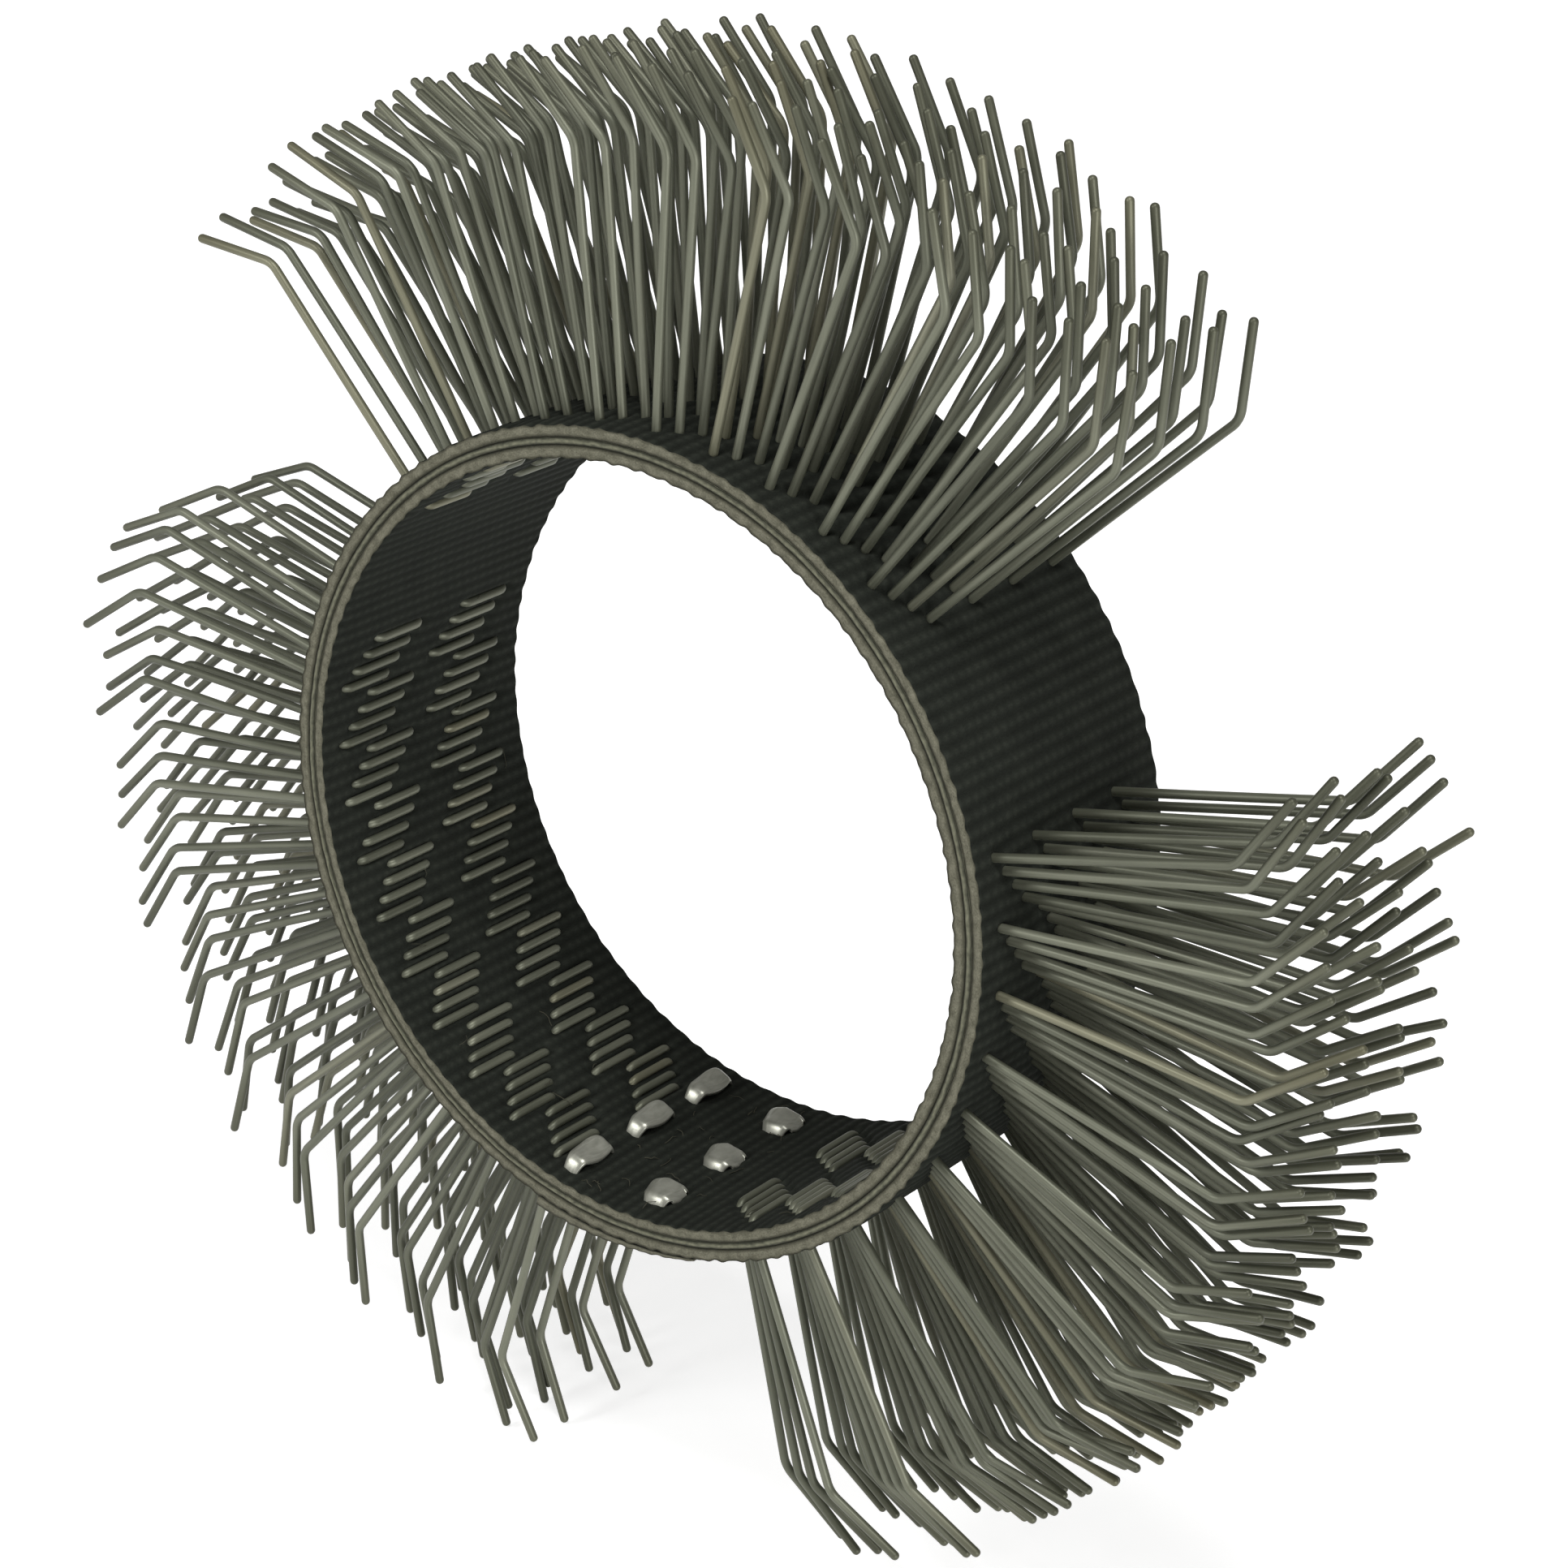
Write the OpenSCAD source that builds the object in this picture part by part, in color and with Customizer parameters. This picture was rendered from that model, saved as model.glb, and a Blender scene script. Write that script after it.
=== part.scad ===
// Rotary wire brush belt: a closed band of two woven plies bonded on rubber, with
// U-shaped spring wire staples standing outwards in three clusters. It slips over a
// round hub. The turning axis is Y, +Z is up, and the origin is the middle of the hub.
// Angles round the band are counted from +X towards +Z.

/* [Band] */
// Width of the band along the turning axis
band_w = 23; // [22.5:0.5:30]
// Inside diameter of the band, where the hub goes
bore_d = 59; // [56:1:64]
// Thickness of each woven ply
ply_t = 1.05; // [0.9:0.05:1.2]
// Thickness of the rubber between the plies
rubber_t = 0.5; // [0.4:0.05:0.8]

/* [Bristles] */
// Diameter of the spring wire
wire_d = 0.7; // [0.5:0.05:0.75]
// Groups of four stepped rows in each cluster
groups = 10; // [6:1:10]
// Angle between one row of staples and the next
row_angle = 2.3; // [2.2:0.02:2.3]
// Distance between the two legs of a staple
leg_pitch = 5; // [4.9:0.1:5.1]
// Sideways step from one row to the next
row_step = 1; // [0.95:0.05:1.05]
// Radius at which the legs are bent
knee_r = 51.6; // [46:0.1:54]
// Bend of the tips against the legs
knee_bend = 40; // [30:1:50]
// Straight length of the bent tip
tip_l = 6.3; // [5:0.1:8]
// Greatest lean of a staple along the band
lean = 1.5; // [0:0.1:2]

/* [Lap joint] */
// Middle of the gap with the lap joint
lap_at = 274.6; // [270:0.1:280]
// Length of the tapered lap strip, as an angle
lap_span = 27.5; // [20:0.5:27.5]
// Thickness of the lap strip at its square end
lap_t = 1; // [0.6:0.1:1.2]
// Width of the flat wire of the lap staples
flat_w = 2.4; // [1.8:0.1:2.6]
// Thickness of the flat wire
flat_t = 0.5; // [0.4:0.05:0.6]

/* [Hidden] */
CLUSTERS = ["a", "b", "c"];

rows = 4;                          // rows in a group
gap_turn = 360 / len(CLUSTERS);    // angle from one bare gap to the next
cluster_span = (rows * groups - 1) * row_angle;
cluster_start = [120, 0, 240];     // gap before each cluster, counted on from the lap
half_gap = (gap_turn - cluster_span) / 2;

bore_r = bore_d / 2;
core_in_r = bore_r + ply_t;
core_out_r = core_in_r + rubber_t;
band_r = core_out_r + ply_t;

wire_r = wire_d / 2;
lean_turn = 137.5;                 // phase from one staple to the next, spreads the leans
crown_bend_r = 0.75;               // bend at the ends of a crown, at the wire's middle
knee_bend_r = 1.8;                 // bend of the knee, at the wire's middle
bend_in = 0.1;                     // how far a straight length runs into a bend
bend_swell = 0.01;                 // a bend is pressed this much thicker all round
crown_proud = 0.15;                // how far a crown stands into the bore
crown_r = bore_r - crown_proud + wire_r;

lap_shift = 0.25;                  // from the middle of the gap to the middle of the strip
lap_from = lap_at - lap_span / 2 + lap_shift;
lap_wedges = 12;                   // steps of the strip's taper
lap_thin = 0.15;                   // thickness of the strip's feathered end
lap_rows = [-11, 3.8];             // rows of lap staples, counted on from lap_at
lap_columns = [-7.4, 0, 7.4];
lap_widths = [flat_w, flat_w + 1]; // along the band, one for each row
lap_lengths = [5.2, 3.8];          // along the turning axis, one for each row
flat_proud = 0.2;                  // how far a lap staple stands into the bore
flat_rise = 0.05;                  // between the strip and the clinched ends
flat_tail_gap = 0.8;               // between the two clinched ends of a lap staple
fold_r = 0.6;                      // outside of the folds of the flat wire

steel = "#8b8d80";
bright = "#b4b4aa";
fabric = "#2a2c28";
rubber = "#4a4a3c";

function bristle_name(cluster, g) = str("bristles_", cluster, g < 10 ? "0" : "", g);

function row_turn(c, g, r) =
    lap_at + cluster_start[c] + half_gap + ((g - 1) * rows + r) * row_angle;

// Middle of staple s in row r of a group, along the turning axis.
function staple_y(r, s) = (2 * s - 1) * leg_pitch + ((rows - 1) / 2 - r) * row_step;

function staple_lean(c, g, r, s) = lean * sin(lean_turn * (((c * groups + g) * rows + r) * 2 + s));

// Radius to the outside of the lap strip, at an angle on from its square end.
function strip_r(a) = band_r + lap_t + (lap_thin - lap_t) * a / lap_span;

// Turns the children round the ring, with their +X outwards and +Z along the band.
module around(angle) {
    rotate([0, -angle, 0])
        children();
}

module ring(inner, outer) {
    rotate([90, 0, 0])
        difference() {
            cylinder(r = outer, h = band_w, center = true, $fn = 180);
            cylinder(r = inner, h = band_w + 1, center = true, $fn = 180);
        }
}

// A straight wire along +X, let into the bends at its ends.
module rod(length, before = bend_in, after = bend_in) {
    translate([-before, 0, 0])
        rotate([0, 90, 0])
            cylinder(r = wire_r, h = length + before + after, $fn = 24);
}

// A bent wire that starts along +X and turns towards +Z.
module bent_rod(radius, angle) {
    translate([0, 0, radius])
        rotate([90, 0, 0])
            rotate([0, 0, -90])
                rotate_extrude(angle = angle, $fn = 96)
                    translate([radius, 0])
                        circle(r = wire_r + bend_swell, $fn = 24);
}

// A leg along +X from the end of the crown's bend: straight out, then the knee and tip.
module leg() {
    knee_x = knee_r - knee_bend_r * tan(knee_bend / 2) - crown_r - crown_bend_r;
    rod(knee_x);
    translate([knee_x, 0, 0])
        bent_rod(knee_bend_r, knee_bend);
    translate([
        knee_x + knee_bend_r * sin(knee_bend), 0, knee_bend_r * (1 - cos(knee_bend))
    ])
        rotate([0, -knee_bend, 0])
            rod(tip_l, after = 0);
}

// A U of wire standing on the Y axis: the crown lies along Y and the legs stand out.
module staple() {
    half = leg_pitch / 2;
    translate([0, crown_bend_r - half, 0])
        rotate([0, 0, 90])
            rod(leg_pitch - 2 * crown_bend_r);
    for (side = [0, 1])
        mirror([0, side, 0]) {
            translate([0, half - crown_bend_r, 0])
                rotate([0, 0, 90])
                    rotate([90, 0, 0])
                        bent_rod(crown_bend_r, 90);
            translate([crown_bend_r, half, 0])
                leg();
        }
}

// Four rows of two staples, stepped sideways from row to row.
module bristle_group(c, g) {
    color(steel)
        for (r = [0 : rows - 1])
            around(row_turn(c, g, r))
                for (s = [0, 1])
                    translate([crown_r, staple_y(r, s), 0])
                        rotate([0, -staple_lean(c, g, r, s), 0])
                            staple();
}

module inner_ply() {
    color(fabric)
        ring(bore_r, core_in_r);
}

module rubber_core() {
    color(rubber)
        ring(core_in_r, core_out_r);
}

module outer_ply() {
    color(fabric)
        ring(core_out_r, band_r);
}

// Outer end of the band, lapped over its start and tapered to nothing.
module lap_strip() {
    step = lap_span / lap_wedges;
    color(fabric)
        rotate([90, 0, 0])
            linear_extrude(height = band_w, center = true)
                difference() {
                    polygon(concat(
                        [[0, 0]],
                        [for (i = [0 : lap_wedges])
                            let (a = lap_from + i * step, r = strip_r(i * step))
                                [r * cos(a), r * sin(a)]]
                    ));
                    circle(r = band_r, $fn = 180);
                }
}

// A flat wire staple lying along Y: crown in the bore, legs out, ends clinched over.
module flat_staple(outer_r, width, length) {
    inner_x = bore_r - flat_proud;
    translate([0, 0, -width / 2])
        linear_extrude(height = width)
            difference() {
                translate([inner_x, -length / 2])
                    rounded_box(outer_r + flat_t - inner_x, length, fold_r);
                translate([inner_x + flat_t, flat_t - length / 2])
                    square([outer_r - inner_x - flat_t, length - 2 * flat_t]);
                translate([outer_r - 0.1, -flat_tail_gap / 2])
                    square([flat_t + 1, flat_tail_gap]);
            }
}

module rounded_box(x, y, r) {
    translate([r, 0])
        square([x - 2 * r, y]);
    translate([0, r])
        square([x, y - 2 * r]);
    for (cx = [r, x - r])
        for (cy = [r, y - r])
            translate([cx, cy])
                circle(r = r, $fn = 32);
}

module lap_staples() {
    color(bright)
        for (i = [0, 1])
            around(lap_at + lap_rows[i])
                for (y = lap_columns)
                    translate([0, y, 0])
                        flat_staple(
                            strip_r(lap_at + lap_rows[i] - lap_from) + flat_rise,
                            lap_widths[i], lap_lengths[i]
                        );
}

inner_ply();
rubber_core();
outer_ply();
lap_strip();
lap_staples();
for (c = [0 : len(CLUSTERS) - 1])
    for (g = [1 : groups])
        bristle_group(c, g);
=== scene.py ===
"""Looks of the rotary wire brush belt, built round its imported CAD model. Lengths are in
millimetres until a mesh is made; angles round the ring run from +X towards +Z."""

import math
import random

import bpy
import numpy as np
from mathutils import Matrix, Vector


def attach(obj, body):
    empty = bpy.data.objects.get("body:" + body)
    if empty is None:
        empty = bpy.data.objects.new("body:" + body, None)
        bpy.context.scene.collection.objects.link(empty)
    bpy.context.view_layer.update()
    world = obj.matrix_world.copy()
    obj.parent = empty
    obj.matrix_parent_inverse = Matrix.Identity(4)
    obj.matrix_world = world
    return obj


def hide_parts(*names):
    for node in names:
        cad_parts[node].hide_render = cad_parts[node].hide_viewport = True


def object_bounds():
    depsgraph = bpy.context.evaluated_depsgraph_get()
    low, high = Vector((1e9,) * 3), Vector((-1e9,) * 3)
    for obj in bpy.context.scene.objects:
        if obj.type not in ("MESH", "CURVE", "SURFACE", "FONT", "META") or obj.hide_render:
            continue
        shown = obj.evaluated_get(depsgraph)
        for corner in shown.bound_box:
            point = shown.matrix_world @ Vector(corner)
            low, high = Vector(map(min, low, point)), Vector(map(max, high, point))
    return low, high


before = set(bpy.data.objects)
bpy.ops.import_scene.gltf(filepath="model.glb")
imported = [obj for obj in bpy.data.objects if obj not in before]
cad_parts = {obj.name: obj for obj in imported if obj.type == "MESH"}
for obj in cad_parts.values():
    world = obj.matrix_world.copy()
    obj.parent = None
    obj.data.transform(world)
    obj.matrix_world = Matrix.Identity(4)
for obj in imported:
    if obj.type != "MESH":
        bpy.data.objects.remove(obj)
CAD_BOX = [list(corner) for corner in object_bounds()]
MM = 0.001

# The design, as in the CAD model: the band, the bristles and the lap joint.
BAND_W = 23.0
BORE_R = 29.5
PLY_T = 1.05
RUBBER_T = 0.5
CORE_IN_R = BORE_R + PLY_T
CORE_OUT_R = CORE_IN_R + RUBBER_T
BAND_R = CORE_OUT_R + PLY_T

WIRE_R = 0.35
GROUPS = 10
ROWS = 4
ROW_ANGLE = 2.3
LEG_PITCH = 5.0
ROW_STEP = 1.0
KNEE_R = 51.6
KNEE_BEND = 40.0
KNEE_BEND_R = 1.8
TIP_L = 6.3
CROWN_BEND_R = 0.75
CROWN_PROUD = 0.15
CROWN_R = BORE_R - CROWN_PROUD + WIRE_R
CLUSTERS = {"a": 120.0, "b": 0.0, "c": 240.0}  # gap before each, counted on from the lap
HALF_GAP = (360.0 / len(CLUSTERS) - (ROWS * GROUPS - 1) * ROW_ANGLE) / 2

LAP_AT = 274.6
LAP_SPAN = 27.5
LAP_SHIFT = 0.25
LAP_T = 1.0
LAP_THIN = 0.15
LAP_FROM = LAP_AT - LAP_SPAN / 2 + LAP_SHIFT
LAP_COLUMNS = (-7.4, 0.0, 7.4)
FLAT_RISE = 0.05

# The cloth: ribs all the way round, cells along a rib and notches along a cut edge.
RIBS = 176
CELL_PITCH = 0.95
SCALLOP_PITCH = 1.85

rng = random.Random(7)


def row_turn(cluster, group, row):
    """Angle of a row of staples, in degrees."""
    return LAP_AT + CLUSTERS[cluster] + HALF_GAP + ((group - 1) * ROWS + row) * ROW_ANGLE


def staple_y(row, side):
    """Middle of a staple along the turning axis."""
    return (2 * side - 1) * LEG_PITCH + ((ROWS - 1) / 2 - row) * ROW_STEP


def strip_r(angle_on):
    """Radius to the outside of the lap strip, at an angle on from its square end."""
    return BAND_R + LAP_T + (LAP_THIN - LAP_T) * angle_on / LAP_SPAN


# ---------------------------------------------------------------- materials


def material(name):
    """A new material with its node tree and its shader."""
    m = bpy.data.materials.new(name)
    m.use_nodes = True
    nt = m.node_tree
    nt.nodes.clear()
    out = nt.nodes.new("ShaderNodeOutputMaterial")
    bsdf = nt.nodes.new("ShaderNodeBsdfPrincipled")
    nt.links.new(bsdf.outputs[0], out.inputs[0])
    return m, nt, bsdf


def node(nt, kind, inputs=None, **settings):
    """A shader node. Each input is a value or another node's socket."""
    n = nt.nodes.new("ShaderNode" + kind)
    for k, v in settings.items():
        setattr(n, k, v)
    for k, v in (inputs or {}).items():
        if isinstance(v, bpy.types.NodeSocket):
            nt.links.new(v, n.inputs[k])
        else:
            n.inputs[k].default_value = v
    return n


def ramp(nt, factor, stops):
    """Colour that runs through stops, each a place and a colour."""
    n = node(nt, "ValToRGB", {"Fac": factor})
    el = n.color_ramp.elements
    while len(el) < len(stops):
        el.new(0.5)
    for e, (at, colour) in zip(el, stops):
        e.position = at
        e.color = (*colour, 1.0)
    return n.outputs["Color"]


def math_node(nt, operation, a, b=0.0, clamp=False):
    n = nt.nodes.new("ShaderNodeMath")
    n.operation = operation
    n.use_clamp = clamp
    for i, v in enumerate((a, b)):
        if isinstance(v, bpy.types.NodeSocket):
            nt.links.new(v, n.inputs[i])
        else:
            n.inputs[i].default_value = v
    return n.outputs[0]


def scaled(nt, value, factor, offset):
    return math_node(nt, "ADD", math_node(nt, "MULTIPLY", value, factor), offset)


def weighted(nt, parts, clamp=False):
    """Sum of (value, weight) pairs."""
    terms = [math_node(nt, "MULTIPLY", value, weight) for value, weight in parts]
    total = terms[0]
    for term in terms[1:]:
        total = math_node(nt, "ADD", total, term, clamp=clamp and term is terms[-1])
    return total


def wave_node(nt, phase):
    """From 0 up to 1 and back again, once for each unit of the phase."""
    cosine = math_node(nt, "COSINE", math_node(nt, "MULTIPLY", phase, 2 * math.pi))
    return math_node(nt, "SUBTRACT", 0.5, math_node(nt, "MULTIPLY", cosine, 0.5))


def tinted(nt, colour, factor):
    return node(nt, "VectorMath", {0: colour, 1: factor}, operation="MULTIPLY").outputs[0]


def point_value(nt, name):
    return node(nt, "Attribute", attribute_name=name).outputs["Fac"]


def uv_place(nt):
    """The u and v values of the uv map."""
    uv = node(nt, "UVMap", uv_map="uv")
    xyz = node(nt, "SeparateXYZ", {"Vector": uv.outputs[0]})
    return xyz.outputs[0], xyz.outputs[1]


def noise(nt, scale, detail):
    """Noise over the uv map, with cells of one over the scale."""
    uv = node(nt, "UVMap", uv_map="uv")
    mapped = node(nt, "Mapping", {"Vector": uv.outputs[0], "Scale": (*scale, 1.0)})
    inputs = {"Vector": mapped.outputs[0], "Scale": 1.0, "Detail": detail}
    return node(nt, "TexNoise", inputs).outputs["Fac"]


def bump(nt, bsdf, height, strength, depth):
    """Bump with its depth in millimetres."""
    n = node(nt, "Bump", {"Height": height, "Strength": strength, "Distance": depth * MM})
    nt.links.new(n.outputs[0], bsdf.inputs["Normal"])


def steel_wire():
    """Drawn grey spring wire: dull and streaked along its length, with darker tips. Each
    has a tone of its own: a few carry a painted highlight, their colour brightened along
    their whole length, and a few are brownish."""
    m, nt, bsdf = material("drawn_spring_wire")
    tone = point_value(nt, "tone")
    streak = noise(nt, (5.0, 0.10), 4.0)
    blotch = noise(nt, (0.5, 0.22), 3.0)
    shade = weighted(nt, [(streak, 0.45), (blotch, 0.25), (tone, 0.35)], clamp=True)
    colour = ramp(
        nt,
        shade,
        [
            (0.20, (0.060, 0.060, 0.044)),
            (0.50, (0.114, 0.115, 0.086)),
            (0.85, (0.190, 0.188, 0.146)),
        ],
    )
    # Tone under 0.02 makes a wire's colour 2.2 times brighter: a painted highlight along that wire.
    # Tone over 0.93 gives it a brownish tint of its own.
    tint_and_painted_highlight = ramp(
        nt,
        tone,
        [
            (0.02, (2.2, 2.2, 2.15)),
            (0.05, (0.96, 1.0, 0.97)),
            (0.90, (0.96, 1.0, 0.97)),
            (0.93, (1.0, 0.985, 0.87)),
        ],
    )
    worn = point_value(nt, "worn")
    dirt = ramp(nt, worn, [(0.0, (1.0, 1.0, 1.0)), (1.0, (0.66, 0.65, 0.60))])
    colour = tinted(nt, tinted(nt, colour, tint_and_painted_highlight), dirt)
    nt.links.new(colour, bsdf.inputs["Base Color"])
    bsdf.inputs["Metallic"].default_value = 0.5
    bsdf.inputs["Specular IOR Level"].default_value = 0.4
    nt.links.new(scaled(nt, streak, 0.25, 0.34), bsdf.inputs["Roughness"])
    bump(nt, bsdf, streak, 0.25, 0.03)
    return m


def flat_steel():
    """Flat wire, smooth from the rolls with fine scratches along it."""
    m, nt, bsdf = material("smooth_flat_wire")
    scratch = noise(nt, (6.0, 0.8), 5.0)
    colour = ramp(nt, scratch, [(0.3, (0.24, 0.245, 0.205)), (0.7, (0.36, 0.36, 0.31))])
    nt.links.new(colour, bsdf.inputs["Base Color"])
    bsdf.inputs["Metallic"].default_value = 0.6
    nt.links.new(scaled(nt, scratch, 0.2, 0.24), bsdf.inputs["Roughness"])
    bump(nt, bsdf, scratch, 0.2, 0.03)
    return m


def woven_black():
    """Black rubberised cloth. In its uv map u counts the ribs and v is in millimetres."""
    m, nt, bsdf = material("rubberised_weave")
    u, v = uv_place(nt)
    rib = wave_node(nt, u)
    stagger = math_node(nt, "MULTIPLY", math_node(nt, "FLOOR", u), 0.5)
    cell = wave_node(nt, scaled(nt, v, 1 / CELL_PITCH, stagger))
    crest = math_node(nt, "MULTIPLY", rib, cell)
    fibre = noise(nt, (9.0, 3.0), 6.0)
    dust = noise(nt, (0.35, 0.35), 8.0)
    height = weighted(nt, [(rib, 0.6), (crest, 0.35), (fibre, 0.5)])
    # rib and crest lighten the colour where the weave stands up and leave the grooves darker: painted
    # shade that follows the bump. fibre and dust are the cloth's own marks.
    shade = weighted(nt, [(fibre, 0.30), (dust, 0.30), (rib, 0.14), (crest, 0.10)], clamp=True)
    colour = ramp(
        nt,
        shade,
        [
            (0.20, (0.0082, 0.0092, 0.0075)),
            (0.45, (0.0172, 0.0194, 0.0157)),
            (0.70, (0.0320, 0.0350, 0.0280)),
        ],
    )
    nt.links.new(colour, bsdf.inputs["Base Color"])
    nt.links.new(scaled(nt, dust, 0.2, 0.75), bsdf.inputs["Roughness"])
    bsdf.inputs["Specular IOR Level"].default_value = 0.06
    bump(nt, bsdf, height, 0.6, 0.14)
    return m


def edge_band(nt, low, high, soft):
    """1 where v in millimetres lies between two values, falling to 0 outside them."""
    v = uv_place(nt)[1]
    rise = node(nt, "MapRange", {"Value": v, "From Min": low - soft, "From Max": low + soft})
    fall = node(nt, "MapRange", {"Value": v, "From Min": high + soft, "From Max": high - soft})
    return math_node(nt, "MULTIPLY", rise.outputs[0], fall.outputs[0])


def cut_edge():
    """Raw cut edge of a ply: olive-grey yarn ends, dark where it meets face and rubber."""
    m, nt, bsdf = material("cut_ply_edge")
    yarn = noise(nt, (1.3, 1.6), 3.0)
    fibre = noise(nt, (7.0, 9.0), 6.0)
    pale = edge_band(nt, 0.12, 0.86, 0.14)
    shade = weighted(nt, [(yarn, 0.45), (fibre, 0.40)])
    shade = math_node(nt, "MULTIPLY", shade, scaled(nt, pale, 0.8, 0.35))
    colour = ramp(
        nt,
        shade,
        [
            (0.12, (0.020, 0.020, 0.014)),
            (0.40, (0.074, 0.072, 0.051)),
            (0.66, (0.150, 0.145, 0.108)),
        ],
    )
    nt.links.new(colour, bsdf.inputs["Base Color"])
    bsdf.inputs["Roughness"].default_value = 0.9
    bsdf.inputs["Specular IOR Level"].default_value = 0.15
    bump(nt, bsdf, shade, 0.8, 0.15)
    return m


def rubber_line():
    """The rubber between the plies: a dull pale olive line with dark borders."""
    m, nt, bsdf = material("dull_rubber")
    grain = noise(nt, (2.0, 4.0), 6.0)
    pale = edge_band(nt, 0.12, 0.38, 0.09)
    shade = math_node(nt, "MULTIPLY", grain, scaled(nt, pale, 0.75, 0.25))
    colour = ramp(
        nt, shade, [(0.12, (0.020, 0.021, 0.014)), (0.62, (0.130, 0.130, 0.090))]
    )
    nt.links.new(colour, bsdf.inputs["Base Color"])
    bsdf.inputs["Roughness"].default_value = 0.85
    bsdf.inputs["Specular IOR Level"].default_value = 0.2
    bump(nt, bsdf, grain, 0.5, 0.1)
    return m


def pale_floor():
    m, _, bsdf = material("pale_floor")
    bsdf.inputs["Base Color"].default_value = (0.6, 0.6, 0.6, 1.0)
    bsdf.inputs["Roughness"].default_value = 1.0
    bsdf.inputs["Specular IOR Level"].default_value = 0.0
    bsdf.inputs["Emission Color"].default_value = (1.0, 1.0, 1.0, 1.0)
    bsdf.inputs["Emission Strength"].default_value = 0.7
    return m


WIRE = steel_wire()
FLAT = flat_steel()
WEAVE = woven_black()
EDGE = cut_edge()
RUBBER = rubber_line()


# ---------------------------------------------------------------- mesh helpers


def build(name, verts, faces, uvs, mats, face_mat=None, values=None):
    """A mesh object in metres from points in millimetres. uvs has one pair per corner and
    values holds named lists of one number per point."""
    mesh = bpy.data.meshes.new(name)
    mesh.from_pydata((np.asarray(verts) * MM).tolist(), [], faces)
    layer = mesh.uv_layers.new(name="uv")
    layer.data.foreach_set("uv", np.asarray(uvs, np.float32).ravel())
    for m in mats:
        mesh.materials.append(m)
    if face_mat is not None:
        mesh.polygons.foreach_set("material_index", np.asarray(face_mat, np.int32))
    for key, numbers in (values or {}).items():
        attribute = mesh.attributes.new(key, "FLOAT", "POINT")
        attribute.data.foreach_set("value", np.asarray(numbers, np.float32))
    mesh.polygons.foreach_set("use_smooth", [True] * len(mesh.polygons))
    mesh.update()
    obj = bpy.data.objects.new(name, mesh)
    bpy.context.scene.collection.objects.link(obj)
    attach(obj, "root")
    return obj


def polar(radius, turn, y):
    """Points from radius, angle in radians and place along the turning axis."""
    return np.stack([radius * np.cos(turn), y + 0 * turn, radius * np.sin(turn)], -1)


def hash_noise(values, seed):
    """Repeatable smooth noise from -1 to 1 over one number."""
    low = np.floor(values)
    t = values - low
    t = t * t * (3 - 2 * t)

    def at(k):
        s = np.sin(k * 127.1 + seed * 311.7) * 43758.5453
        return 2 * (s - np.floor(s)) - 1

    return at(low) * (1 - t) + at(low + 1) * t


# ---------------------------------------------------------------- wires

ROOT_L = 0.2            # a leg is straight for this long outside the band
LEAN_L = 0.6            # and takes its lean over the next stretch
END_CUT = 0.1           # a tip is this much shorter under its rounded end
WIRE_SIDES = 12
AROUND_WIRE = 1.9       # width of the pattern once round a wire
TONE_SHIFT = 37         # the pattern starts this much further on for a tone of 1
WORN_FADE = 1.4         # over 1, the very tips are fully worn

# Rounded end of a wire: place past its last point and radius, both in wire radii.
ROUND_END = ((0.31, 0.95), (0.6, 0.8), (0.82, 0.56), (0.92, 0.3))


def turn_towards(direction, towards, angle):
    """The direction turned by an angle in the plane it makes with another direction."""
    side = towards - direction * direction.dot(towards)
    side.normalize()
    return (direction * math.cos(angle) + side * math.sin(angle)).normalized()


def leg_path(side, look):
    """Centre line of one leg from the end of its crown bend, in the staple's own frame:
    +X outwards, +Y along the turning axis and +Z round the band."""
    out, round_band, along = Vector((1, 0, 0)), Vector((0, 0, 1)), Vector((0, 1, 0))
    p = Vector((CROWN_R + CROWN_BEND_R, side * LEG_PITCH / 2, 0))
    d = out.copy()
    path = [p.copy()]

    def go(length, steps, bend=0.0, towards=round_band):
        nonlocal p, d
        for _ in range(steps):
            d = turn_towards(d, towards, bend / steps / 2) if bend else d
            p = p + d * (length / steps)
            d = turn_towards(d, towards, bend / steps / 2) if bend else d
            path.append(p.copy())

    go(BAND_R - p.x + ROOT_L, 2)
    d = turn_towards(d, round_band, math.radians(look["lean"]) / 2)
    d = turn_towards(d, along, math.radians(look["splay"]) / 2)
    go(LEAN_L, 1)
    d = turn_towards(d, round_band, math.radians(look["lean"]) / 2)
    d = turn_towards(d, along, math.radians(look["splay"]) / 2)
    knee = math.radians(KNEE_BEND + look["knee"])
    straight = KNEE_R + look["long"] - KNEE_BEND_R * math.tan(knee / 2) - BAND_R
    straight -= ROOT_L + LEAN_L
    go(straight, 7, math.radians(look["bow"]))
    radius = KNEE_BEND_R + look["round"]
    go(radius * knee, 8, knee, (round_band + along * look["twist"]).normalized())
    go(TIP_L + look["tip"] - END_CUT, 2)
    return path


def staple_path(looks):
    """Centre line of a whole staple, from the tip of its near leg to that of its far one."""
    half = LEG_PITCH / 2 - CROWN_BEND_R
    legs = {side: leg_path(side, looks[side]) for side in (-1, 1)}
    crown = [Vector((CROWN_R, y, 0)) for y in np.linspace(-half, half, 5)]
    corner = []
    for k in range(1, 6):
        a = math.pi / 2 * k / 6
        corner.append((CROWN_BEND_R * (1 - math.cos(a)), CROWN_BEND_R * math.sin(a)))
    near = [Vector((CROWN_R + x, -half - y, 0)) for x, y in corner]
    far = [Vector((CROWN_R + x, half + y, 0)) for x, y in corner]
    return legs[-1][::-1] + near[::-1] + crown + far + legs[1]


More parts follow.
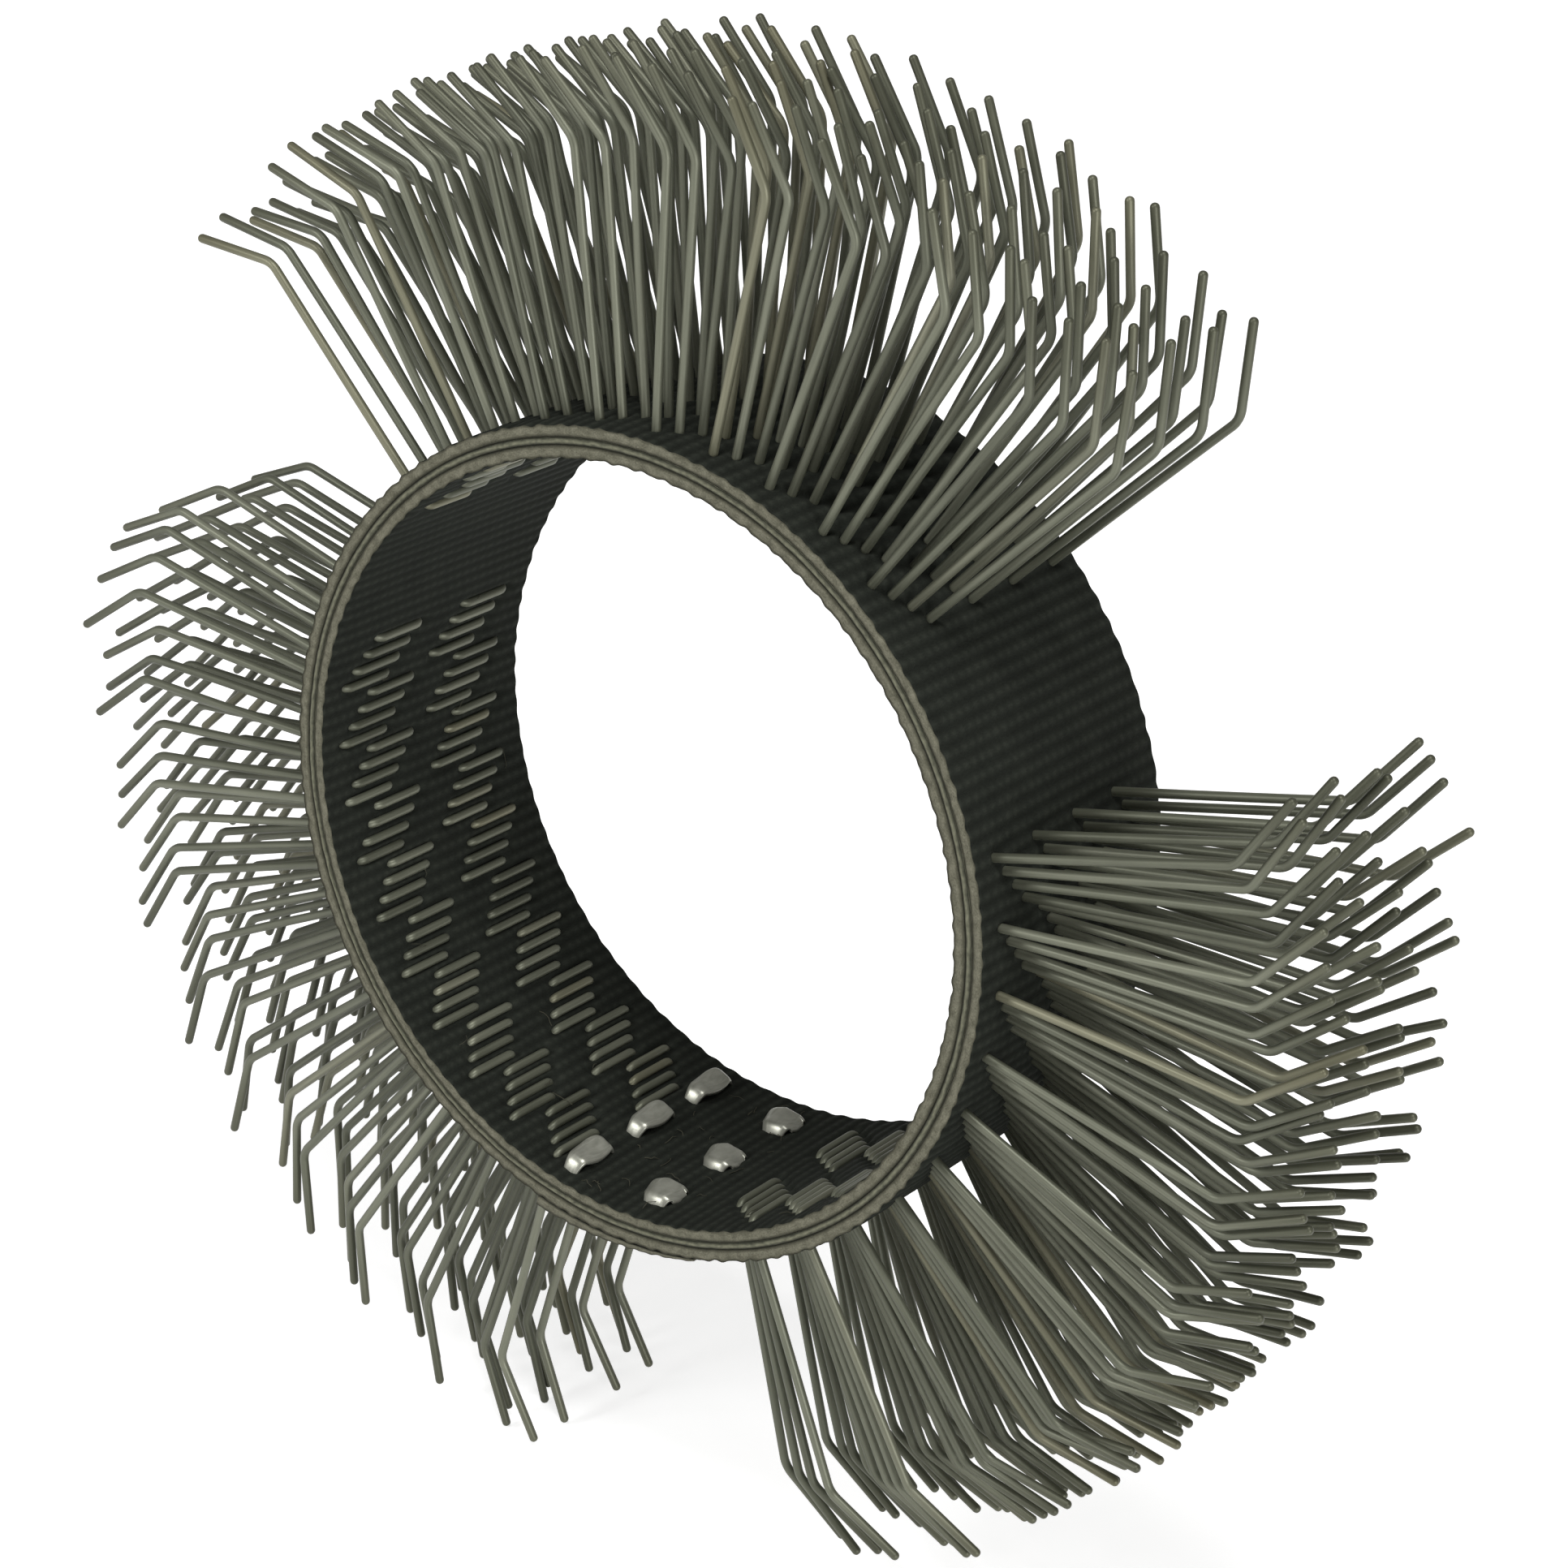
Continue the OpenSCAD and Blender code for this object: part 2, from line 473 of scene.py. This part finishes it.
def tube(path, radius, sides, at_vert, tone):
    """Rings along a path with rounded ends. Returns points, faces, corner uvs and how near
    each point is to an end, from 0 at TIP_L or more to 1 at the end."""
    pts = [Vector(p) for p in path]
    first = (pts[0] - pts[1]).normalized()
    last = (pts[-1] - pts[-2]).normalized()
    radii = [radius] * len(pts)
    head = [pts[0] + first * (a * radius) for a, _ in ROUND_END[::-1]]
    tail = [pts[-1] + last * (a * radius) for a, _ in ROUND_END]
    narrow = [radius * b for _, b in ROUND_END]
    pts = head + pts + tail
    radii = narrow[::-1] + radii + narrow
    co = np.array([list(p) for p in pts])
    tangent = np.gradient(co, axis=0)
    tangent /= np.linalg.norm(tangent, axis=1, keepdims=True)
    normal = np.cross(tangent[0], [0.3, 0.4, 0.86])
    normal /= np.linalg.norm(normal)
    length = np.concatenate([[0], np.cumsum(np.linalg.norm(np.diff(co, axis=0), axis=1))])
    ring_angle = np.arange(sides) / sides * 2 * math.pi
    run = length + tone * TONE_SHIFT
    verts = []
    for i in range(len(co)):
        t = tangent[i]
        normal = normal - t * normal.dot(t)
        normal /= np.linalg.norm(normal)
        side = np.cross(t, normal)
        ring = np.outer(np.cos(ring_angle), normal) + np.outer(np.sin(ring_angle), side)
        verts.append(co[i] + ring * radii[i])
    verts = np.concatenate(verts)
    faces, uvs = [], []
    for i in range(len(co) - 1):
        for j in range(sides):
            k = (j + 1) % sides
            lo, hi = at_vert + i * sides, at_vert + (i + 1) * sides
            faces.append((lo + j, lo + k, hi + k, hi + j))
            u0, u1 = j / sides * AROUND_WIRE, (j + 1) / sides * AROUND_WIRE
            uvs += [(u0, run[i]), (u1, run[i]), (u1, run[i + 1]), (u0, run[i + 1])]
    last_ring = at_vert + (len(co) - 1) * sides
    faces.append(tuple(range(at_vert + sides - 1, at_vert - 1, -1)))
    uvs += [(0.0, run[0])] * sides
    faces.append(tuple(range(last_ring, last_ring + sides)))
    uvs += [(0.0, run[-1])] * sides
    to_end = np.minimum(length, length[-1] - length)
    near_end = np.repeat(np.clip(WORN_FADE * (1 - to_end / TIP_L), 0, 1), sides)
    return verts, faces, uvs, near_end


def leg_look(shared):
    """Small differences between legs, in degrees and millimetres. The two legs of a staple
    mostly lean together."""
    return {
        "lean": shared["lean"] + rng.gauss(0, 0.45),
        "splay": rng.gauss(0, 0.5),
        "bow": rng.gauss(0, 0.7),
        "knee": shared["knee"] + rng.gauss(0, 1.8),
        "twist": rng.gauss(0, 0.05),
        "long": rng.gauss(0, 0.25),
        "round": rng.uniform(-0.2, 0.4),
        "tip": rng.gauss(0, 0.22),
    }


def bristle_group(cluster, group):
    """One piece for each group: four stepped rows of two staples."""
    verts, faces, uvs, tones, worn = [], [], [], [], []
    at = 0
    for row in range(ROWS):
        turn = math.radians(row_turn(cluster, group, row))
        er = np.array([math.cos(turn), 0, math.sin(turn)])
        et = np.array([-math.sin(turn), 0, math.cos(turn)])
        for side in (0, 1):
            shared = {"lean": rng.gauss(0, 0.75), "knee": rng.gauss(0, 2.0)}
            looks = {-1: leg_look(shared), 1: leg_look(shared)}
            path = staple_path(looks)
            y = staple_y(row, side)
            world = [Vector(er * p.x + et * p.z) + Vector((0, p.y + y, 0)) for p in path]
            tone = rng.random()
            v, f, u, near_end = tube(world, WIRE_R, WIRE_SIDES, at, tone)
            at += len(v)
            verts.append(v)
            faces += f
            uvs += u
            tones += [tone] * len(v)
            worn.append(near_end)
    name = f"bristles_{cluster}{group:02d}"
    own_name = name.replace("bristles", "wires")
    values = {"tone": tones, "worn": np.concatenate(worn)}
    obj = build(own_name, np.concatenate(verts), faces, uvs, [WIRE], values=values)
    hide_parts(name)


for cluster in CLUSTERS:
    for group in range(1, GROUPS + 1):
        bristle_group(cluster, group)


# ---------------------------------------------------------------- band


def all_crowns():
    """Angle in radians and place along the axis of every crown's middle."""
    spots = []
    for cluster in CLUSTERS:
        for group in range(1, GROUPS + 1):
            for row in range(ROWS):
                for side in (0, 1):
                    turn = math.radians(row_turn(cluster, group, row)) % (2 * math.pi)
                    spots.append((turn, staple_y(row, side)))
    return np.array(spots)


CROWNS = all_crowns()


def near_wires(turn, y, radius, crown_dip, hole_dip, reach):
    """How deep the cloth is drawn in, at points of a face, by the crowns and legs. The dip
    fades over the reach."""
    dip = np.zeros(np.broadcast(turn, y).shape)
    turn = np.broadcast_to(turn, dip.shape)
    y = np.broadcast_to(y, dip.shape)
    for at, mid in CROWNS:
        d = (turn - at + math.pi) % (2 * math.pi) - math.pi
        s = d * radius
        ok = (np.abs(s) < 3 * reach) & (np.abs(y - mid) < LEG_PITCH / 2 + 3 * reach)
        if not ok.any():
            continue
        sy = np.maximum(np.abs(y[ok] - mid) - LEG_PITCH / 2, 0)
        far = np.hypot(s[ok], sy)
        value = crown_dip * np.exp(-((far / reach) ** 2))
        for end in (-1, 1):
            hole = np.hypot(s[ok], y[ok] - mid - end * LEG_PITCH / 2)
            value = np.maximum(value, hole_dip * np.exp(-((hole / reach) ** 2)))
        dip[ok] = np.maximum(dip[ok], value)
    return dip


def ring_mesh(name, sections, around, mats, loose=None):
    """A closed ring. sections are runs of the profile, each (count, mat, function), where
    the function maps (turn, t from 0 to 1) to radius, y and v in millimetres. loose makes
    more points and faces, with the last material, from the number of points so far."""
    turn = np.arange(around) / around * 2 * math.pi
    columns, v_place, v_next, mat_of = [], [], [], []
    for count, mat, function in sections:
        start = len(v_place)
        for t in np.arange(count) / count:
            radius, y, v = function(turn, t)
            columns.append(polar(radius, turn, y))
            v_place.append(v)
            mat_of.append(mat)
        v_next += v_place[start + 1 :] + [function(turn, 1.0)[2]]
    grid = np.stack(columns, 1)
    rows, cols = grid.shape[0], grid.shape[1]
    profile_r, profile_y = grid[0, :, 0], grid[0, :, 1]
    area = np.sum(profile_r * np.roll(profile_y, -1) - np.roll(profile_r, -1) * profile_y)
    clockwise = area < 0
    faces, uvs, face_mat = [], [], []
    for j in range(cols):
        k = (j + 1) % cols
        v0, v1 = v_place[j], v_next[j]
        for i in range(rows):
            n = (i + 1) % rows
            loop = [i * cols + j, i * cols + k, n * cols + k, n * cols + j]
            u0, u1 = i / rows * RIBS, (i + 1) / rows * RIBS
            corners = [(u0, v0), (u0, v1), (u1, v1), (u1, v0)]
            faces.append(loop[::-1] if clockwise else loop)
            uvs += corners[::-1] if clockwise else corners
            face_mat.append(mat_of[j])
    verts = grid.reshape(-1, 3)
    if loose:
        more, more_faces, more_uvs = loose(len(verts))
        verts = np.concatenate([verts, more])
        faces += more_faces
        uvs += more_uvs
        face_mat += [len(mats) - 1] * len(more_faces)
    return build(name, verts, faces, uvs, mats, face_mat)


def scallop(turn, radius, seed):
    """Rounded notches along a cut edge, none quite alike."""
    count = round(2 * math.pi * radius / SCALLOP_PITCH)
    phase = turn * count / (2 * math.pi)
    wave = 0.5 - 0.5 * np.cos(2 * math.pi * phase + 0.6 * hash_noise(phase * 0.7, seed))
    return wave * (0.7 + 0.3 * hash_noise(phase, seed + 3))


def weave_depth(turn, y, ridge, seed):
    """Depth of the grooves between the ribs that run across the band."""
    phase = turn * RIBS / (2 * math.pi)
    groove = 0.5 + 0.5 * np.cos(2 * math.pi * phase)
    rough = 0.5 + 0.5 * hash_noise(turn * BAND_R * 1.7 + y * 3.1, seed)
    return ridge * (0.8 * groove + 0.2 * rough)


def loose_threads(count, seed, at_vert):
    """Broken yarn ends that stand off the inner face near the lap and at the wire roots."""
    pick = random.Random(seed)
    parts, faces, uvs = [], [], []
    for k in range(count):
        if k < count // 2:
            turn = math.radians(LAP_AT + pick.uniform(-9.0, 9.0))
            y = pick.uniform(-10.5, 10.5)
        else:
            turn, y = CROWNS[pick.randrange(len(CROWNS))]
            y = y + LEG_PITCH / 2 * pick.choice((-1, 1))
            turn = turn + pick.gauss(0, 0.01)
        er = Vector((math.cos(turn), 0, math.sin(turn)))
        et = Vector((-math.sin(turn), 0, math.cos(turn)))
        p = er * (BORE_R + 0.12) + Vector((0, y, 0))
        heading = pick.uniform(0, 2 * math.pi)
        path = []
        length, rise = pick.uniform(0.5, 1.9), pick.uniform(0.05, 0.22)
        for i in range(6):
            path.append(p.copy())
            heading += pick.gauss(0, 0.28)
            flat = et * math.cos(heading) + Vector((0, 1, 0)) * math.sin(heading)
            p = p + flat * (length / 5) - er * (rise if i < 2 else rise * pick.uniform(-0.7, 0.3))
        v, f, u, _ = tube(path, pick.uniform(0.02, 0.035), 5, at_vert, pick.random())
        at_vert += len(v)
        parts.append(v)
        faces += f
        uvs += [(a, 0.1) for a, _ in u]
    return np.concatenate(parts), faces, uvs


def ply(name, cad_node, inner, outer, shown_inside, seed):
    """One woven ply. Its shown face carries the weave and both edges are cut yarns."""
    half = BAND_W / 2
    face_r, back_r = (inner, outer) if shown_inside else (outer, inner)
    inward = 1 if shown_inside else -1
    ridge = 0.08 if shown_inside else 0.10
    crown_dip, hole_dip, reach = (0.40, 0.42, 0.56) if shown_inside else (0.0, 0.3, 0.5)
    face_in, back_in = 0.06, 0.26  # how far the two faces stop short of the band's width
    notch_depth, notch_reach = 0.17, 0.8

    def notch(turn, side):
        return notch_depth * scallop(turn, face_r, seed + (1 if side > 0 else 2))

    def shown(turn, t):
        y = -half + face_in + t * (BAND_W - 2 * face_in)
        at_edge = math.exp(-(((half - abs(y)) / notch_reach) ** 2))
        depth = weave_depth(turn, y, ridge, seed) + at_edge * notch(turn, y)
        depth = depth + near_wires(turn, np.array(y), face_r, crown_dip, hole_dip, reach)
        return face_r + inward * depth, np.full_like(turn, y), y + half

    def cut(side, away):
        def run(turn, t):
            s = t if away else 1 - t
            start = face_r + inward * notch(turn, side)
            yarn_ends = 0.5 + 0.5 * np.cos(turn * RIBS)
            rough = hash_noise(turn * BAND_R * 2.3 + s * 5, seed + 7)
            swell = math.sin(math.pi * s) ** 0.6
            y = side * (half - back_in + swell * (0.22 - 0.05 * yarn_ends - 0.03 * rough))
            return start + (back_r - start) * s, y, s * PLY_T

        return run

    def hidden(turn, t):
        y = half - back_in - t * (BAND_W - 2 * back_in)
        return back_r + 0 * turn, np.full_like(turn, y), t * BAND_W

    sections = [(72, 0, shown), (7, 1, cut(1, True)), (4, 0, hidden), (7, 1, cut(-1, False))]
    loose = (lambda at: loose_threads(64, seed, at)) if shown_inside else None
    obj = ring_mesh(name, sections, 6 * RIBS, [WEAVE, EDGE], loose)
    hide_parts(cad_node)


def rubber_ring():
    """The rubber between the plies, its edges set back and slightly bulged."""
    half = BAND_W / 2 - 0.2

    def inside(turn, t):
        return CORE_IN_R + 0 * turn, np.full_like(turn, -half + 2 * half * t), 0.25

    def outside(turn, t):
        return CORE_OUT_R + 0 * turn, np.full_like(turn, half - 2 * half * t), 0.25

    def edge(side, away):
        def run(turn, t):
            s = t if away else 1 - t
            bulge = 0.15 * math.sin(math.pi * s)
            rough = 0.03 * hash_noise(turn * BAND_R * 1.3, 5 + side)
            return CORE_IN_R + s * RUBBER_T + 0 * turn, side * (half + bulge + rough), s * RUBBER_T

        return run

    sections = [(4, 0, inside), (6, 0, edge(1, True)), (4, 0, outside), (6, 0, edge(-1, False))]
    obj = ring_mesh("rubber_between_plies", sections, 720, [RUBBER])
    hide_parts("rubber_core")


def lap_strip():
    """The lapped outer end: woven outside, cut yarns on its edges and square end."""
    steps, across = 96, 84
    half = BAND_W / 2 - 0.1
    on = np.linspace(0, LAP_SPAN, steps)
    turns = np.radians(LAP_FROM + on)
    ys = np.linspace(-half, half, across)
    fringe = 0.06 * np.sin(ys * 6.1) + 0.04 * np.sin(ys * 13.7 + 1)  # of the square end
    top, bottom = [], []
    for i, (a, turn) in enumerate(zip(on, turns)):
        r = strip_r(a)
        flat = min(1.0, (r - BAND_R) / LAP_T * 2)
        row = np.full(across, turn)
        at_edge = np.exp(-(((half - np.abs(ys)) / 0.7) ** 2))
        depth = weave_depth(row, ys, 0.10 * flat, 21)
        depth = depth + 0.12 * flat * at_edge * scallop(row, BAND_R, 23)
        depth = depth + 0.12 * math.exp(-((i / 1.1) ** 2))  # rounds the square end
        row = row - (fringe / BAND_R if i == 0 else 0.0)
        top.append(polar(r - depth, row, ys))
        bottom.append(polar(BAND_R - 0.05 + 0 * ys, np.full(across, turn), ys))
    verts = np.concatenate(top + bottom)
    off = steps * across
    faces, uvs, mats = [], [], []

    def quad(loop, corners, mat, flip=False):
        faces.append(tuple(loop[::-1] if flip else loop))
        uvs.extend(corners[::-1] if flip else corners)
        mats.append(mat)

    us, vs = turns / (2 * math.pi) * RIBS, ys + half
    for i in range(steps - 1):
        for j in range(across - 1):
            p = i * across + j
            corners = [(us[i], vs[j]), (us[i], vs[j + 1]), (us[i + 1], vs[j + 1]), (us[i + 1], vs[j])]
            loop = [p, p + 1, p + across + 1, p + across]
            quad(loop, corners, 0)
            quad([off + q for q in loop], corners, 0, flip=True)
        for j in (0, across - 1):
            p = i * across + j
            corners = [(us[i], 0.0), (us[i + 1], 0.0), (us[i + 1], 1.0), (us[i], 1.0)]
            quad([p, p + across, off + p + across, off + p], corners, 1, flip=j > 0)
    for j in range(across - 1):
        for i in (0, steps - 1):
            p = i * across + j
            corners = [(vs[j], 0.0), (vs[j], 1.0), (vs[j + 1], 1.0), (vs[j + 1], 0.0)]
            quad([p, off + p, off + p + 1, p + 1], corners, 1, flip=i > 0)
    obj = build("lapped_strip", verts, faces, uvs, [WEAVE, EDGE], mats)
    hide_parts("lap_strip")


# Each row: angle on from the lap's middle, then length, width, arch, dome and twist in
# degrees of its crowns. The long ones are arched at both ends, the short ones are domed.
LAP_ROWS = ((-11.0, 5.2, 2.1, 1.15, 0.20, 24.0), (3.8, 3.8, 3.2, 0.80, 0.60, 16.0))
LONG_CROWN = 4.5        # a crown longer than this dips in the middle
FLAT_T = 0.45
FLAT_SIDES = 24
AROUND_FLAT = 0.3       # width of the pattern from one side to the next


def rounded(points, times):
    """Corner cutting on an open line of (y, r) points."""
    for _ in range(times):
        new = [points[0]]
        for p, q in zip(points, points[1:]):
            new.append((0.75 * p[0] + 0.25 * q[0], 0.75 * p[1] + 0.25 * q[1]))
            new.append((0.25 * p[0] + 0.75 * q[0], 0.25 * p[1] + 0.75 * q[1]))
        points = new + [points[-1]]
    return points


def flat_staple(turn, y0, length, width, arch, dome, twist):
    """Rings of a flat wire staple: crown in the bore, legs out, ends clinched outside."""
    out_r = strip_r(math.degrees(turn) - LAP_FROM) + FLAT_RISE + FLAT_T / 2
    half = length / 2 - FLAT_T / 2
    in_r = BORE_R + 0.12
    middle = 0.85 if length > LONG_CROWN else 1.05  # height of the middle against the ends
    side = [
        (0.45, out_r + 0.02), (half - 0.2, out_r + 0.05), (half, out_r - 0.3),
        (half, in_r + 0.5), (half - 0.05, in_r - 0.1), (half * 0.72, in_r - arch),
        (half * 0.4, in_r - arch * (middle + 1) / 2),
    ]
    line = [(-y, r) for y, r in side] + [(0.0, in_r - arch * middle)] + side[::-1]
    line = np.array(rounded(line, 3))
    tangent = np.gradient(line, axis=0)
    tangent /= np.linalg.norm(tangent, axis=1, keepdims=True)
    corner = 2 * math.pi * (np.arange(FLAT_SIDES) + 0.5) / FLAT_SIDES
    c, d = np.cos(corner), np.sin(corner)
    wide = np.sign(c) * np.abs(c) ** 0.35 * width / 2
    thick = np.sign(d) * np.abs(d) ** 0.55 * FLAT_T / 2
    er = np.array([math.cos(turn), 0, math.sin(turn)])
    et = np.array([-math.sin(turn), 0, math.cos(turn)])
    ey = np.array([0.0, 1.0, 0.0])
    rings = []
    for i, ((y, r), (ty, tr)) in enumerate(zip(line, tangent)):
        outwards = er * ty - ey * tr
        trim = (0.8, 0.95, 1.0)[min(i, len(line) - 1 - i, 2)]
        in_bore = 1.0 if r < in_r + 0.6 else 0.0
        trim = trim * (1 - in_bore * 0.42 * min(1.0, abs(y) / half) ** 2.5)
        sag = thick + in_bore * dome * abs(ty) * (2 * wide / width) ** 2
        share = math.exp(-(((y - 0.35 * half) / (0.5 * half)) ** 2))
        turned = in_bore * math.radians(twist) * share
        across = et * math.cos(turned) + outwards * math.sin(turned)
        outwards = outwards * math.cos(turned) - et * math.sin(turned)
        centre = er * r + ey * (y + y0)
        rings.append(centre + np.outer(wide * trim, across) + np.outer(sag * trim, outwards))
    return rings


def lap_staples():
    """Two rows of three, in one piece."""
    verts, faces, uvs, at = [], [], [], 0
    for turn_on, length, width, arch, dome, twist in LAP_ROWS:
        for y0 in LAP_COLUMNS:
            turn = math.radians(LAP_AT + turn_on) + rng.gauss(0, 0.0015)
            place = y0 + rng.gauss(0, 0.08)
            arch_now, twist_now = arch * rng.uniform(0.9, 1.1), twist * rng.uniform(0.8, 1.2)
            rings = flat_staple(turn, place, length, width, arch_now, dome, twist_now)
            n = len(rings[0])
            middle = np.array([ring.mean(0) for ring in rings])
            run = np.concatenate([[0], np.cumsum(np.linalg.norm(np.diff(middle, axis=0), axis=1))])
            run = run + y0 * 3 + turn_on
            for i in range(len(rings) - 1):
                for j in range(n):
                    k = (j + 1) % n
                    lo, hi = at + i * n, at + (i + 1) * n
                    faces.append((lo + j, lo + k, hi + k, hi + j))
                    u0, u1 = j * AROUND_FLAT, (j + 1) * AROUND_FLAT
                    uvs += [(u0, run[i]), (u1, run[i]), (u1, run[i + 1]), (u0, run[i + 1])]
            last = at + (len(rings) - 1) * n
            faces += [tuple(range(at + n - 1, at - 1, -1)), tuple(range(last, last + n))]
            for end in (run[0], run[-1]):
                uvs += [(AROUND_FLAT * j, end) for j in range(n)]
            verts += rings
            at += len(rings) * n
    obj = build("clinched_lap_staples", np.concatenate(verts), faces, uvs, [FLAT])
    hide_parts("lap_staples")


ply("inner_ply_cloth", "inner_ply", BORE_R, CORE_IN_R, True, 11)
ply("outer_ply_cloth", "outer_ply", CORE_OUT_R, BAND_R, False, 17)
rubber_ring()
lap_strip()
lap_staples()


# ---------------------------------------------------------------- stage

FLOOR_R = 3.0
FLOOR_Z = CAD_BOX[0][2] - 0.5 * MM
bpy.ops.mesh.primitive_circle_add(
    vertices=96, radius=FLOOR_R, fill_type="NGON", location=(0, 0, FLOOR_Z)
)
floor = bpy.context.object
floor.name = "floor"
floor.data.materials.append(pale_floor())

world = bpy.data.worlds.new("studio")
bpy.context.scene.world = world
world.use_nodes = True
background = world.node_tree.nodes["Background"]
background.inputs["Color"].default_value = (1.0, 0.99, 0.96, 1.0)
background.inputs["Strength"].default_value = 0.31


def area_light(name, place, size, power):
    """A round soft light that faces the object."""
    data = bpy.data.lights.new(name, "AREA")
    data.shape = "DISK"
    data.size = size
    data.energy = power
    obj = bpy.data.objects.new(name, data)
    bpy.context.scene.collection.objects.link(obj)
    obj.location = place
    obj.rotation_euler = (-Vector(place)).to_track_quat("-Z", "Y").to_euler()


area_light("key", (-0.45, -0.85, 0.45), 0.3, 4.8)
area_light("fill", (0.95, -0.50, 0.20), 0.45, 5.8)
area_light("top", (0.15, -0.30, 1.0), 0.4, 7.0)

# Camera at the photograph's viewing angle. It points at the middle of the bore, and its
# shift frames the object.
CAM_AZ, CAM_EL, CAM_ROLL = math.radians(-35.7), math.radians(26.6), math.radians(5.7)
CAM_D = 0.30
SENSOR = 36.0
LENS = 91.957
SHIFT_X, SHIFT_Y = 0.04296, 0.01398

view = Vector(
    (math.sin(CAM_AZ) * math.cos(CAM_EL), math.cos(CAM_AZ) * math.cos(CAM_EL), -math.sin(CAM_EL))
)
right = Vector((math.cos(CAM_AZ), -math.sin(CAM_AZ), 0.0))
up = right.cross(view)
cam_right = right * math.cos(CAM_ROLL) + up * math.sin(CAM_ROLL)
cam_up = up * math.cos(CAM_ROLL) - right * math.sin(CAM_ROLL)
cam_data = bpy.data.cameras.new("camera")
cam_data.sensor_width = SENSOR
cam_data.lens = LENS
cam_data.shift_x = SHIFT_X
cam_data.shift_y = SHIFT_Y
cam_data.clip_start = 0.01
camera = bpy.data.objects.new("camera", cam_data)
bpy.context.scene.collection.objects.link(camera)
rotation = Matrix((cam_right, cam_up, -view)).transposed()
camera.matrix_world = Matrix.Translation(-view * CAM_D) @ rotation.to_4x4()
bpy.context.scene.camera = camera
bpy.context.scene.view_settings.view_transform = "Standard"
